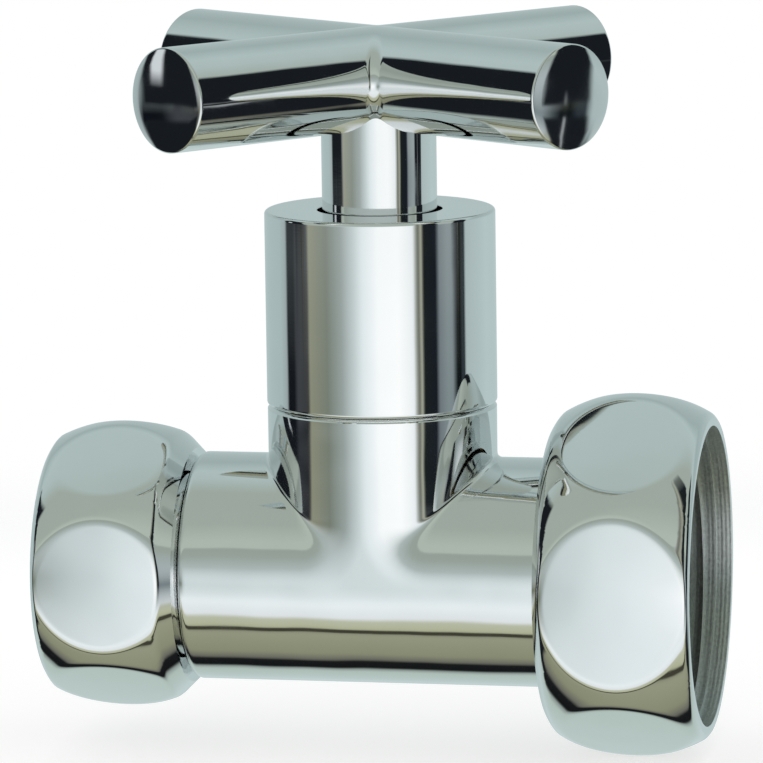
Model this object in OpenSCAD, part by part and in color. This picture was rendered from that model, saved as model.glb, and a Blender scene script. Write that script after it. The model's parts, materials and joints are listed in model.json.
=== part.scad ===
// Straight shut-off valve for a towel rail: a forged tee body with a loose union nut on each end,
// a screw-down headwork in the branch, a plain cover over the headwork and a cross handle.
// The origin is where the pipe axis (X, large nut at +X) crosses the spindle axis (Z, handle up).

/* [Body] */
// Outside diameter of the run and of the branch
body_d = 26.4; // [24:0.1:29]
// Height of the branch's top face above the pipe axis
branch_h = 19.5; // [19:0.5:24]
// Distance from the spindle axis to the shoulder on the small side
small_shoulder_x = 21.9; // [20:0.1:26]
// Height of the shoulder, down to the tail that carries the small nut
shoulder_step = 2.7; // [2:0.1:3.4]
// Wall of the tail on the small side
small_tail_wall = 2; // [1.6:0.1:3.5]
// Wall of the tail on the large side
large_tail_wall = 3.2; // [2.4:0.1:5]
// Wall of the branch around the headwork's thread
branch_wall = 2.7; // [2.2:0.1:3.2]
// Radius of the rounded shoulder edge
shoulder_round = 0.9; // [0.4:0.1:1.4]

/* [Union nuts] */
// Distance from the spindle axis to the back face of the large nut
large_nut_x = 20.2; // [18:0.1:24]
// Length of the large nut
large_nut_len = 17.9; // [17:0.1:22]
// Room between the large tail and the inside of the large nut's thread
large_thread_room = 1.95; // [1.6:0.05:2.6]
// Wall of the large nut from the inside of its thread to a flat
large_nut_wall = 3.45; // [2.8:0.05:4.2]
// Wall of the large nut from the inside of its thread to the round rim of its mouth
large_rim_wall = 3; // [2.6:0.1:3.4]
// Length of the small nut
small_nut_len = 16.4; // [15.4:0.1:20]
// Room between the small tail and the inside of the small nut's thread
small_thread_room = 1.55; // [1.3:0.05:2]
// Wall of the small nut from the inside of its thread to a flat
small_nut_wall = 2.7; // [2.2:0.05:3.4]
// Wall of the small nut from the inside of its thread to the round rim of its mouth
small_rim_wall = 1.85; // [1.6:0.05:2.2]
// How far the barrel of each nut stands out beyond its ends
barrel_bulge = 2.8; // [2.4:0.1:3.2]
// Thickness of the collar at the back of each nut
nut_collar = 3.8; // [3:0.1:4.2]
// Play between each nut and the tail that it turns on
nut_play = 0.3; // [0.2:0.05:0.5]
// Thickness of the split rings that hold the nuts
ring_t = 1.2; // [1:0.1:1.4]
// Thickness of the flat gaskets
gasket_t = 2; // [1.5:0.1:2.2]

/* [Headwork] */
// Length of the headwork thread in the branch
headwork_thread_len = 7; // [6:0.1:7.2]
// Wall of the headwork's key hexagon around the carrier's guide
key_wall = 2.6; // [1.8:0.1:3.4]
// Wall of the sliding carrier around the spindle's screw
carrier_wall = 1.9; // [1.4:0.1:2.2]
// Diameter of the spindle where it runs in the headwork
spindle_d = 9; // [8.6:0.1:9.4]
// Travel of the carrier for one turn of the spindle
spindle_pitch = 1.5; // [1:0.1:1.6]
// Turns of the handle from shut to fully open
turns_to_open = 2.5; // [2:0.25:2.5]
// Room between the headwork's thread and the rubber seat washer
washer_room = 2.85; // [2.6:0.05:3.6]
// How far the washer reaches over the edge of the seat's bore
seat_overlap = 2.1; // [1.8:0.1:2.6]
// Number of serrations on the top of the spindle
serrations = 20; // [16:1:24]

/* [Cover] */
// Height of the cover
cover_h = 22.4; // [20:0.1:28]
// Thickness of the cover's top
cover_top_t = 2; // [1.2:0.1:2.6]
// Wall of the cover's skirt at its thread
cover_skirt = 1.25; // [1:0.05:1.6]
// Radial gap between the cover's hole and the handle's neck
neck_gap = 0.6; // [0.4:0.1:1]

/* [Handle] */
// Diameter of the handle's neck
neck_d = 13.2; // [12:0.1:15]
// Diameter of the four arms
arm_d = 11.8; // [10:0.1:13]
// Distance from the spindle axis to the end of an arm
arm_reach = 31.7; // [26:0.1:38]
// Height of the arms' axis above the cover
arm_rise = 15.1; // [13.5:0.1:20]
// Height of the dome on the end of an arm
arm_dome = 0.5; // [0.2:0.05:0.9]
// Angle of an arm from the pipe axis with the valve shut
handle_angle = 53.5; // [0:0.5:90]

/* [Hidden] */
$fn = 96;

// Small clearances and edges
seat_gap = 0.1;          // flat pieces that rest on each other across a joint
slip = 0.05;             // radial clearance of a running or screwed fit
ring_play = 0.2;         // between a nut's collar and its split ring
edge = 0.4;              // chamfer on turned edges
cut = 1;                 // how far a cutter runs past what it cuts

// The branch is a hair thinner than the run, and one bar of the handle than the other, so that
// where they cross the surfaces meet in clean loops
crossing_step = 0.1;
branch_d = body_d - crossing_step;

// The tails and their bores
small_tail_d = body_d - 2 * shoulder_step;
small_waterway_d = small_tail_d - 2 * small_tail_wall;
large_waterway_d = body_d - 2 * large_tail_wall;

// The nuts, each over its tail. Threads are plain walls at the inside diameter.
large_thread_depth = 1.475;
small_thread_depth = 1.17;
large_thread_d = body_d + 2 * large_thread_room;
small_thread_d = small_tail_d + 2 * small_thread_room;
large_thread_major = large_thread_d + 2 * large_thread_depth;
small_thread_major = small_thread_d + 2 * small_thread_depth;
large_nut_af = large_thread_d + 2 * large_nut_wall;
small_nut_af = small_thread_d + 2 * small_nut_wall;
large_nut_end_d = large_thread_d + 2 * large_rim_wall;
small_nut_end_d = small_thread_d + 2 * small_rim_wall;
large_mouth_clear = 1.2; // how much wider the large nut's mouth is than its thread
small_mouth_clear = 0.2;
mouth_depth = 1.8;
relief_clear = 0.6;      // how much wider the relief behind the thread is than the thread
large_back_step = 2.2;   // how much wider the large nut's flat back face is than the body
small_back_step = 0.2;   // how much narrower the small nut's flat back face is than the body
large_back_slope = 0.4;  // fall of the nut's back towards its rim
small_back_slope = 1;

// Tails: collar, split ring and a lip, then the gasket
tail_lip = 0.8;
groove_depth = 1;
ring_pass = 0.3;         // room between a split ring and the thread that it goes in through
gasket_pass = 0.25;      // the same for a gasket
gasket_step = 0.5;       // how far a gasket's hole stands back from the tail's bore
ring_opening = 3;        // width of the split in a ring
nut_float = 0.4;         // gap between the shoulder and the small nut
small_nut_x = small_shoulder_x + nut_float;
large_ring_x = large_nut_x + nut_collar + ring_play;
small_ring_x = small_nut_x + nut_collar + ring_play;
large_tail_x = large_ring_x + ring_t + tail_lip;
small_tail_x = small_ring_x + ring_t + tail_lip;
relief_len = ring_play + ring_t + tail_lip + gasket_t + ring_play;

// The headwork's thread, and the washer and the seat that it leaves room for
headwork_thread_d = branch_d - 2 * branch_wall;
seat_washer_d = headwork_thread_d - 2 * washer_room;
seat_bore_d = seat_washer_d - 2 * seat_overlap;

// The seat, the web that carries it and the ports under and over it
lip_h = 1;
lip_w = 1.4;
seat_z = 1.7;
chamber_floor = seat_z - lip_h;
chamber_room = 1.6;      // room around the washer
chamber_d = seat_washer_d + 2 * chamber_room;
port_d = 7.4;
port_rise = 0.8;         // from the chamber's floor to the upper port
web_t = 2.7;
web_under = chamber_floor - web_t;
bore_land = 2.3;         // from the chamber or the thread to the end of a waterway
port_overlap = 1.7;      // how far a port runs into the chamber
port_lap = 0.6;          // how far the seat's bore stops above the floor of the lower port

// Heights of the headwork, all from the branch's top face
counterbore_depth = 2.2;
counterbore_step = 1.35;
counterbore_d = headwork_thread_d + 2 * counterbore_step;
thread_run_out = 0.5;    // how far the branch's thread goes past the headwork
seal_t = 1.5;
seal_floor = branch_h - counterbore_depth;
headwork_z = seal_floor - headwork_thread_len;
flange_z = seal_floor + seal_t;
register_rise = 0.3;
collar_len = 7.8;
key_len = 3.9;
boss_len = 1.5;
guide_len = 4.5;
boss_wall = 2.5;
register_top = branch_h + register_rise;
collar_top = register_top + collar_len;
key_top = collar_top + key_len;
headwork_top = key_top + boss_len;
thrust_z = branch_h + guide_len;
boss_d = spindle_d + 2 * boss_wall;
headwork_neck = 0.9;     // depth of the relief under the flange
seal_play = 0.15;
seal_bite = 0.45;        // how far the seal reaches in past the thread

// The carrier and its lift
lift = spindle_pitch * turns_to_open;
washer_t = 2.2;
washer_z = seat_z + seat_gap;
washer_top = washer_z + washer_t;
washer_recess = 1;
cup_wall = 0.6;
cup_d = seat_washer_d + 2 * cup_wall;
cup_t = 2.2;
carrier_floor_t = 3;
carrier_floor = washer_top + carrier_floor_t;
spindle_step = 0.5;      // from the spindle's bearing in to its screw
spindle_screw_d = spindle_d - 2 * spindle_step;
carrier_af = spindle_screw_d + 2 * carrier_wall;
guide_play = 0.1;        // around the carrier's hexagon and the spindle's collar
key_af = carrier_af + 2 * key_wall;
spindle_collar_t = 2;
thrust_t = 0.3;
spindle_collar_z = thrust_z - thrust_t - 2 * slip - spindle_collar_t;
collar_reserve = 0.85;   // left between the carrier and the collar, fully open
screw_reserve = 0.3;     // left between the carrier's floor and the screw, fully open
carrier_top = spindle_collar_z - lift - collar_reserve;
spindle_end = carrier_floor + lift + screw_reserve;
screw_d = 4;
screw_head_d = 7;
screw_head_t = 1.2;
screw_slot_w = 1;
screw_reach = 0.2;       // how far the screw stops below the carrier's floor

// The spindle's top
o_ring_section = 1.2;
o_ring_groove_w = 1.6;
o_ring_groove_d = spindle_d - 2 * o_ring_section;
o_ring_first = 2.5;
o_ring_spacing = 3.2;
o_ring_zs = [thrust_z + o_ring_first, thrust_z + o_ring_first + o_ring_spacing];
clip_t = 0.8;
clip_gap = 0.2;
clip_z = headwork_top + clip_gap;
clip_groove_depth = 1.1;
clip_groove_d = spindle_d - 2 * clip_groove_depth;
clip_reach = 1.5;
clip_d = spindle_d + 2 * clip_reach;
serration_step = 0.55;   // from the spindle's bearing in to the tips of the serrations
serration_d = spindle_d - 2 * serration_step;
serration_depth = 0.35;

// Cover and handle
cover_proud = 0.1;       // how far the cover stands out from the branch
cover_lift = 0.1;        // gap between the branch and the cover
cover_d = branch_d + 2 * cover_proud;
cover_z = branch_h + cover_lift;
cover_top = cover_z + cover_h;
cover_thread_d = cover_d - 2 * cover_skirt;
cover_thread_len = 8.6;
cover_wall = 1.5;
cover_step = 0.4;        // slope from the thread out to the inside of the wall
neck_over_clip = 1;
hub_roof = 2.8;          // solid metal between the spindle's top and the arms
bore_spare = 0.6;        // how much deeper the handle's bore is than the spindle reaches
neck_z = clip_z + clip_t + neck_over_clip;
arm_z = cover_top + arm_rise;
arm_under = arm_z - arm_d / 2;
spindle_top = arm_under - hub_roof;
dome_flat = 0.02;        // depth of the tiny flat that is left where a turned dome ends
grub_z = (cover_top + arm_under) / 2;
grub_d = 4;
grub_sunk = 0.2;         // how far the screw ends below the neck's surface
grub_len = (neck_d - serration_d) / 2 - grub_sunk;

// Turns a piece that is built along Z so that it lies along the pipe
module along_x() { rotate([0, 90, 0]) children(); }

// A plain round bar from z0 to z1 with chamfered rims
module turned_bar(d, z0, z1, rim) {
    rotate_extrude() polygon([
        [0, z0], [d / 2 - rim, z0], [d / 2, z0 + rim],
        [d / 2, z1 - rim], [d / 2 - rim, z1], [0, z1]
    ]);
}

// A ring of rectangular section
module flat_ring(outer_d, inner_d, z0, t) {
    translate([0, 0, z0]) difference() {
        cylinder(d = outer_d, h = t);
        translate([0, 0, -cut]) cylinder(d = inner_d, h = t + 2 * cut);
    }
}

// The run's outline from the small tail to the large one: [radius, distance along the pipe]
module run_outline() {
    r = body_d / 2;
    difference() {
        union() {
            polygon([
                [0, -small_tail_x], [small_tail_d / 2 - edge, -small_tail_x],
                [small_tail_d / 2, -small_tail_x + edge], [small_tail_d / 2, 0], [0, 0]
            ]);
            polygon([
                [0, -small_shoulder_x], [r - shoulder_round, -small_shoulder_x],
                [r - shoulder_round, -small_shoulder_x + shoulder_round],
                [r, -small_shoulder_x + shoulder_round], [r, large_tail_x - edge],
                [r - edge, large_tail_x], [0, large_tail_x]
            ]);
            intersection() {
                translate([r - shoulder_round, -small_shoulder_x + shoulder_round])
                    circle(r = shoulder_round);
                translate([r - shoulder_round, -small_shoulder_x])
                    square([shoulder_round, shoulder_round]);
            }
        }
        translate([small_tail_d / 2 - groove_depth, -small_ring_x - ring_t - slip])
            square([groove_depth + cut, ring_t + 2 * slip]);
        translate([r - groove_depth, large_ring_x - slip])
            square([groove_depth + cut, ring_t + 2 * slip]);
    }
}

// Everything that is drilled out of the forging
module waterway() {
    small_bore_end = chamber_d / 2 + bore_land;
    large_bore_end = headwork_thread_d / 2 + bore_land;
    // in from the small side, under the seat's web
    along_x() translate([0, 0, -small_tail_x - cut])
        cylinder(d = small_waterway_d, h = small_tail_x + cut - small_bore_end);
    translate([0, 0, web_under - port_d / 2]) along_x() translate([0, 0, -small_bore_end - cut])
        cylinder(d = port_d, h = small_bore_end + cut);
    // up through the seat
    translate([0, 0, web_under - port_d + port_lap])
        cylinder(d = seat_bore_d, h = port_d - port_lap + seat_z - web_under + cut);
    // the chamber over the seat, then the headwork's thread and counterbore
    difference() {
        translate([0, 0, chamber_floor])
            cylinder(d = chamber_d, h = branch_h - chamber_floor);
        seat_lip();
    }
    translate([0, 0, headwork_z - thread_run_out])
        cylinder(d = headwork_thread_d + 2 * slip, h = branch_h - headwork_z);
    translate([0, 0, seal_floor]) cylinder(d = counterbore_d, h = counterbore_depth + cut);
    // out to the large side, over the web
    translate([0, 0, chamber_floor + port_d / 2 + port_rise]) along_x()
        translate([0, 0, chamber_d / 2 - port_overlap])
            cylinder(d = port_d, h = large_bore_end - chamber_d / 2 + port_overlap + cut);
    along_x() translate([0, 0, large_bore_end])
        cylinder(d = large_waterway_d, h = large_tail_x - large_bore_end + cut);
}

// The raised ring that the washer closes on, with a round crest
module seat_lip() {
    rotate_extrude() {
        translate([seat_bore_d / 2, chamber_floor - cut])
            square([lip_w, lip_h + cut - lip_w / 2]);
        translate([(seat_bore_d + lip_w) / 2, seat_z - lip_w / 2]) circle(d = lip_w);
    }
}

module valve_body() {
    color("silver") difference() {
        union() {
            along_x() rotate_extrude() run_outline();
            turned_bar(branch_d, 0, branch_h, edge);
        }
        waterway();
    }
}

// A nut from its back face at z = 0 to its mouth at z = len. The barrel is one arc, so each flat
// is a closed oval that stops short of both ends.
module union_nut(len, end_d, af, thread_d, thread_major, mouth_d, bore_d, back_d, back_slope) {
    r_max = end_d / 2 + barrel_bulge;
    arc_r = (pow(len / 2, 2) + pow(barrel_bulge, 2)) / (2 * barrel_bulge);
    thread_z = nut_collar + relief_len;
    difference() {
        intersection() {
            rotate_extrude() difference() {
                intersection() {
                    translate([r_max - arc_r, len / 2]) circle(r = arc_r, $fn = 180);
                    square([r_max + cut, len]);
                }
                polygon([
                    [back_d / 2, 0], [r_max, (r_max - back_d / 2) * back_slope],
                    [r_max, -cut], [back_d / 2, -cut]
                ]);
                polygon([
                    [end_d / 2 - edge / 2, len], [end_d / 2 + cut, len - 2 * cut - edge],
                    [end_d / 2 + cut, len + cut], [end_d / 2 - edge / 2, len + cut]
                ]);
            }
            translate([0, 0, -cut]) cylinder(d = af / cos(30), h = len + 2 * cut, $fn = 6);
        }
        translate([0, 0, -cut]) cylinder(d = bore_d, h = nut_collar + 2 * cut);
        translate([0, 0, nut_collar]) cylinder(d = thread_major + relief_clear, h = relief_len);
        translate([0, 0, thread_z - cut]) cylinder(d = thread_d, h = len - thread_z + 2 * cut);
        translate([0, 0, len - mouth_depth]) cylinder(d = mouth_d, h = mouth_depth + cut);
    }
}

module union_nut_large() {
    color("gainsboro") translate([large_nut_x, 0, 0]) along_x()
        union_nut(large_nut_len, large_nut_end_d, large_nut_af, large_thread_d,
            large_thread_major, large_thread_major + large_mouth_clear,
            body_d + 2 * nut_play, body_d + large_back_step, large_back_slope);
}

module union_nut_small() {
    color("gainsboro") mirror([1, 0, 0]) translate([small_nut_x, 0, 0]) along_x()
        union_nut(small_nut_len, small_nut_end_d, small_nut_af, small_thread_d,
            small_thread_major, small_thread_major + small_mouth_clear,
            small_tail_d + 2 * nut_play, body_d - small_back_step, small_back_slope);
}

// An open ring of flat section that snaps into the groove of a tail
module split_ring(thread_d, tail_d, z0) {
    outer_d = thread_d - 2 * ring_pass;
    difference() {
        flat_ring(outer_d, tail_d - 2 * groove_depth + 2 * ring_play, z0, ring_t);
        translate([-outer_d, -ring_opening / 2, z0 - cut])
            cube([outer_d, ring_opening, ring_t + 2 * cut]);
    }
}

module retaining_ring_large() {
    color("goldenrod") along_x() split_ring(large_thread_d, body_d, large_ring_x);
}

module retaining_ring_small() {
    color("goldenrod") mirror([1, 0, 0]) along_x()
        split_ring(small_thread_d, small_tail_d, small_ring_x);
}

// The flat gasket on the end of a tail, small enough to go in through the nut's thread
module gasket(thread_d, waterway_d, z0) {
    flat_ring(thread_d - 2 * gasket_pass, waterway_d + 2 * gasket_step, z0, gasket_t);
}

module gasket_large() {
    color("darkgreen") along_x()
        gasket(large_thread_d, large_waterway_d, large_tail_x);
}

module gasket_small() {
    color("darkgreen") mirror([1, 0, 0]) along_x()
        gasket(small_thread_d, small_waterway_d, small_tail_x);
}

// The housing that screws into the branch: shank, flange, collar for the cover, key hexagon
module headwork() {
    r_shank = headwork_thread_d / 2;
    r_relief = r_shank - headwork_neck;
    r_register = counterbore_d / 2 - seal_play;
    r_collar = cover_thread_d / 2 - slip;
    color("goldenrod") difference() {
        union() {
            rotate_extrude() polygon([
                [0, headwork_z], [r_shank - edge, headwork_z], [r_shank, headwork_z + edge],
                [r_shank, seal_floor - edge], [r_relief, seal_floor], [r_relief, flange_z],
                [r_register, flange_z], [r_register, register_top], [r_collar, register_top],
                [r_collar, collar_top - edge], [r_collar - edge, collar_top], [0, collar_top]
            ]);
            translate([0, 0, collar_top - cut])
                cylinder(d = key_af / cos(30), h = key_top - collar_top + cut, $fn = 6);
            turned_bar(boss_d, key_top - cut, headwork_top, edge);
        }
        // the hexagonal guide below, then the plain bearing of the spindle
        translate([0, 0, headwork_z - cut])
            cylinder(d = (carrier_af + 2 * guide_play) / cos(30), h = thrust_z - headwork_z + cut,
                $fn = 6);
        translate([0, 0, thrust_z - cut])
            cylinder(d = spindle_d + 2 * slip, h = headwork_top - thrust_z + 2 * cut);
    }
}

module headwork_seal() {
    color("dimgray")
        flat_ring(counterbore_d - 2 * seal_play, headwork_thread_d - 2 * seal_bite,
            seal_floor, seal_t);
}

module thrust_washer() {
    color("white")
        flat_ring(carrier_af - 2 * guide_play, spindle_d + 2 * slip, thrust_z - thrust_t, thrust_t);
}

// The serrated outline of the spindle's top; grow is the clearance of the matching bore
module serrated(grow) {
    r_tip = serration_d / 2 + grow;
    polygon([
        for (i = [0 : 2 * serrations - 1])
            let (r = i % 2 == 0 ? r_tip : r_tip - serration_depth, a = 180 * i / serrations)
            [r * cos(a), r * sin(a)]
    ]);
}

// The spindle turns but does not rise: the collar below and the clip above hold it
module spindle() {
    color("goldenrod") difference() {
        union() {
            turned_bar(spindle_screw_d, spindle_end, spindle_collar_z + cut, 0.6);
            translate([0, 0, spindle_collar_z])
                cylinder(d = carrier_af - 2 * guide_play, h = spindle_collar_t);
            translate([0, 0, spindle_collar_z])
                cylinder(d = spindle_d, h = clip_z + clip_t + slip - spindle_collar_z);
            translate([0, 0, clip_z])
                linear_extrude(spindle_top - clip_z) serrated(0);
        }
        for (z = o_ring_zs)
            flat_ring(spindle_d + cut, o_ring_groove_d, z - o_ring_groove_w / 2, o_ring_groove_w);
        flat_ring(spindle_d + cut, clip_groove_d, clip_z - slip, clip_t + 2 * slip + cut / 2);
    }
}

module o_ring(z) {
    color("black") translate([0, 0, z]) rotate_extrude()
        translate([(o_ring_groove_d + o_ring_section) / 2 + slip / 2, 0])
            circle(d = o_ring_section, $fn = 24);
}

module spindle_o_ring_lower() { o_ring(o_ring_zs[0]); }
module spindle_o_ring_upper() { o_ring(o_ring_zs[1]); }

module spindle_clip() {
    opening = clip_groove_d * 0.55;
    color("gray") difference() {
        flat_ring(clip_d, clip_groove_d + 2 * slip, clip_z, clip_t);
        translate([0, -opening / 2, clip_z - cut]) cube([clip_d, opening, clip_t + 2 * cut]);
    }
}

// The piston: a cup for the washer, and a hexagonal stem that slides up the guide
module valve_carrier() {
    color("goldenrod") difference() {
        union() {
            turned_bar(cup_d, washer_top - washer_recess, washer_top - washer_recess + cup_t, 0.3);
            translate([0, 0, washer_top])
                cylinder(d = carrier_af / cos(30), h = carrier_top - washer_top, $fn = 6);
        }
        translate([0, 0, washer_top - washer_recess - cut])
            cylinder(d = seat_washer_d + 0.1, h = washer_recess + cut);
        translate([0, 0, washer_top - cut])
            cylinder(d = screw_d + 2 * slip, h = carrier_floor - washer_top + 2 * cut);
        translate([0, 0, carrier_floor])
            cylinder(d = spindle_screw_d + 2 * slip, h = carrier_top - carrier_floor + cut);
    }
}

module seat_washer() {
    color("dimgray") flat_ring(seat_washer_d, screw_d + 0.4, washer_z, washer_t);
}

module washer_screw() {
    color("goldenrod") difference() {
        union() {
            turned_bar(screw_head_d, washer_z - screw_head_t, washer_z, 0.3);
            translate([0, 0, washer_z - slip])
                cylinder(d = screw_d, h = carrier_floor - washer_z - screw_reach);
        }
        translate([-screw_head_d, -screw_slot_w / 2, washer_z - screw_head_t - cut])
            cube([2 * screw_head_d, screw_slot_w, cut + screw_head_t / 2]);
    }
}

// The plain cap over the headwork: screwed on the collar, open only round the neck
module cover() {
    r = cover_d / 2;
    r_thread = cover_thread_d / 2 + slip;
    r_inside = r - cover_wall;
    thread_top = cover_z + cover_thread_len;
    color("silver") difference() {
        rotate_extrude() difference() {
            union() {
                polygon([
                    [0, cover_z], [r - edge, cover_z], [r, cover_z + edge],
                    [r, cover_top - edge], [r - edge, cover_top - edge],
                    [r - edge, cover_top], [0, cover_top]
                ]);
                intersection() {
                    translate([r - edge, cover_top - edge]) circle(r = edge);
                    translate([r - edge, cover_top - edge]) square([edge, edge]);
                }
            }
            polygon([
                [0, cover_z - cut], [r_thread, cover_z - cut], [r_thread, thread_top],
                [r_inside, thread_top + cover_step], [r_inside, cover_top - cover_top_t],
                [0, cover_top - cover_top_t]
            ]);
        }
        translate([0, 0, cover_top - cover_top_t - cut])
            cylinder(d = neck_d + 2 * neck_gap, h = cover_top_t + 2 * cut);
    }
}

// One straight bar through the hub, with a shallow dome on each end
module handle_bar(d) {
    r = d / 2;
    dome_r = (pow(r, 2) + pow(arm_dome, 2)) / (2 * arm_dome);
    end = arm_reach + arm_dome - dome_flat;
    along_x() rotate_extrude() intersection() {
        translate([0, -end]) square([r, 2 * end]);
        translate([0, arm_reach + arm_dome - dome_r]) circle(r = dome_r, $fn = 180);
        translate([0, -arm_reach - arm_dome + dome_r]) circle(r = dome_r, $fn = 180);
    }
}

module handle() {
    color("silver") rotate([0, 0, handle_angle]) difference() {
        union() {
            translate([0, 0, arm_z]) {
                handle_bar(arm_d);
                rotate([0, 0, 90]) handle_bar(arm_d - crossing_step);
            }
            turned_bar(neck_d, neck_z, arm_z, edge);
        }
        translate([0, 0, neck_z - cut])
            linear_extrude(spindle_top + bore_spare - neck_z + cut) serrated(slip);
        translate([0, 0, grub_z]) rotate([0, 0, 45]) along_x()
            cylinder(d = grub_d + 2 * slip, h = neck_d);
    }
}

// Set screw at the back of the neck, with a hexagonal socket
module handle_grub_screw() {
    color("dimgray") rotate([0, 0, handle_angle]) translate([0, 0, grub_z])
        rotate([0, 0, 45]) along_x() difference() {
            turned_bar(grub_d, serration_d / 2 + slip, serration_d / 2 + slip + grub_len, 0.2);
            translate([0, 0, serration_d / 2 + slip + grub_len / 2])
                cylinder(d = grub_d / 2 / cos(30), h = grub_len, $fn = 6);
        }
}

valve_body();
union_nut_large();
union_nut_small();
retaining_ring_large();
retaining_ring_small();
gasket_large();
gasket_small();
headwork();
headwork_seal();
thrust_washer();
cover();
spindle();
spindle_o_ring_lower();
spindle_o_ring_upper();
spindle_clip();
handle();
handle_grub_screw();
valve_carrier();
seat_washer();
washer_screw();
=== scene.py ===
"""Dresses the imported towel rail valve: polished chrome forgings, threads, soft studio and camera."""

import json
from math import cos, pi, radians, sin, sqrt, tan

import bmesh
import bpy
from bpy.props import FloatProperty, FloatVectorProperty, IntProperty, PointerProperty
from bpy.types import Operator, Panel, PropertyGroup
from mathutils import Matrix, Vector


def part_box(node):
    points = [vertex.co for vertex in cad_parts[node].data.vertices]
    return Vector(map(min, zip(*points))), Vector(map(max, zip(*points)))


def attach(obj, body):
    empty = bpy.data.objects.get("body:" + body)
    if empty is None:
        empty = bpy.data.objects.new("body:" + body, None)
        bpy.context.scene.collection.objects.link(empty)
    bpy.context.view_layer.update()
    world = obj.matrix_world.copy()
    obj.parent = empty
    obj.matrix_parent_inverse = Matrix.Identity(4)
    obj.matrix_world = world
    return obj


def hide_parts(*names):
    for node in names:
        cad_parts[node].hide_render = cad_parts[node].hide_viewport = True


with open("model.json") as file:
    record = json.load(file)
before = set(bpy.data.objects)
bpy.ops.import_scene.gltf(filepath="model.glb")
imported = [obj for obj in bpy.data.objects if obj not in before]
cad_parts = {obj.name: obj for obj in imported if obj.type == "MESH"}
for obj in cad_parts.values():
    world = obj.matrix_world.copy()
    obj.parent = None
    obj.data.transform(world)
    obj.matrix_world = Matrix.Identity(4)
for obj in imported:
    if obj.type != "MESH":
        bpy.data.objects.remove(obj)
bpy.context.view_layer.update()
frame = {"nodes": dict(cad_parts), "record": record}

bl_info = {
    "name": "Towel Rail Valve",
    "version": (1, 0, 0),
    "blender": (4, 5, 0),
    "location": "View3D > Sidebar > Valve",
    "description": "Builds the visible pieces of a towel rail valve around its packed frame",
    "category": "Object",
}

MM = 0.001
FRAME_PIXELS = 763
SENSOR_MM = 36

# What the frame gives: everything visible is built from these
BODY_LOW, BODY_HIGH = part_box("valve_body")
COVER_LOW, COVER_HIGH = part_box("cover")
HANDLE_LOW, HANDLE_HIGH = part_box("handle")
SPINDLE_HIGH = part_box("spindle")[1]
SEAT_WASHER_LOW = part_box("seat_washer")[0]
HEADWORK_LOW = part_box("headwork")[0]
SEAL_LOW, SEAL_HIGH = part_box("headwork_seal")
RING_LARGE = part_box("retaining_ring_large")
RING_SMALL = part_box("retaining_ring_small")
GRUB_LOW, GRUB_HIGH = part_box("handle_grub_screw")
RUN_R = BODY_HIGH.y

# The forging's edges, the shoulder before its small tail and the plain run before its large end
BODY_EDGE = 0.4 * MM
SHOULDER = 21.9 * MM
STRAIGHT_LARGE = 19.0 * MM

# What differs between the union nuts; raised is how much further out than in the frame each flat
# stands, from the front one upwards
NUT_OWN = {
    "large": {
        "thread_r": 15.15 * MM, "thread_depth": 1.475 * MM, "pitch": 2.309 * MM, "bore_r": 13.5 * MM,
        "mouth_room": 0.6 * MM, "rim_r": 18.4 * MM, "bulge": 2.7 * MM, "middle_shift": 0.35 * MM,
        "back_r": 17.2 * MM, "back_round": 0.9 * MM, "back_slope": 2,
        "crown_edge": 8 * MM, "crown_share": 1.25,
        "raised": [r * MM for r in (0.07, 0.5, 0.3, 0, 0.3, 0.5)],
    },
    "small": {
        "thread_r": 12.05 * MM, "thread_depth": 1.17 * MM, "pitch": 1.814 * MM, "bore_r": 10.8 * MM,
        "mouth_room": 0.1 * MM, "rim_r": 14.3 * MM, "bulge": 2.1 * MM, "middle_shift": 0,
        "back_r": 13.6 * MM, "back_round": 0.25 * MM, "back_slope": 1,
        "crown_edge": 7 * MM, "crown_share": 1,
        "raised": [r * MM for r in (0.16, 0.55, 0.3, 0, 0.3, 0.35)],
    },
}

# Kinds of node that the trees below use often
MATH, RANGE, MIX = "ShaderNodeMath", "ShaderNodeMapRange", "ShaderNodeMix"
NOISE, BUMP = "ShaderNodeTexNoise", "ShaderNodeBump"


def hex_rgb(code):
    """An sRGB hex colour as linear red, green and blue."""
    values = [int(code[i : i + 2], 16) / 255 for i in (1, 3, 5)]
    return [v / 12.92 if v <= 0.04045 else ((v + 0.055) / 1.055) ** 2.4 for v in values]


def length_property(name, description, millimetres, low=0.0, high=200.0):
    """A length in metres whose default is written in millimetres."""
    return FloatProperty(
        name=name, description=description, default=millimetres * MM,
        min=low * MM, max=high * MM, unit="LENGTH", precision=5,
    )


def angle_property(name, description, degrees):
    """An angle whose default is written in degrees."""
    return FloatProperty(
        name=name, description=description, default=radians(degrees), unit="ROTATION",
    )


def colour_property(name, description, code):
    """A colour whose default is written as an sRGB hex value."""
    return FloatVectorProperty(
        name=name, description=description, default=hex_rgb(code), subtype="COLOR", size=3, min=0, max=1,
    )


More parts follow.
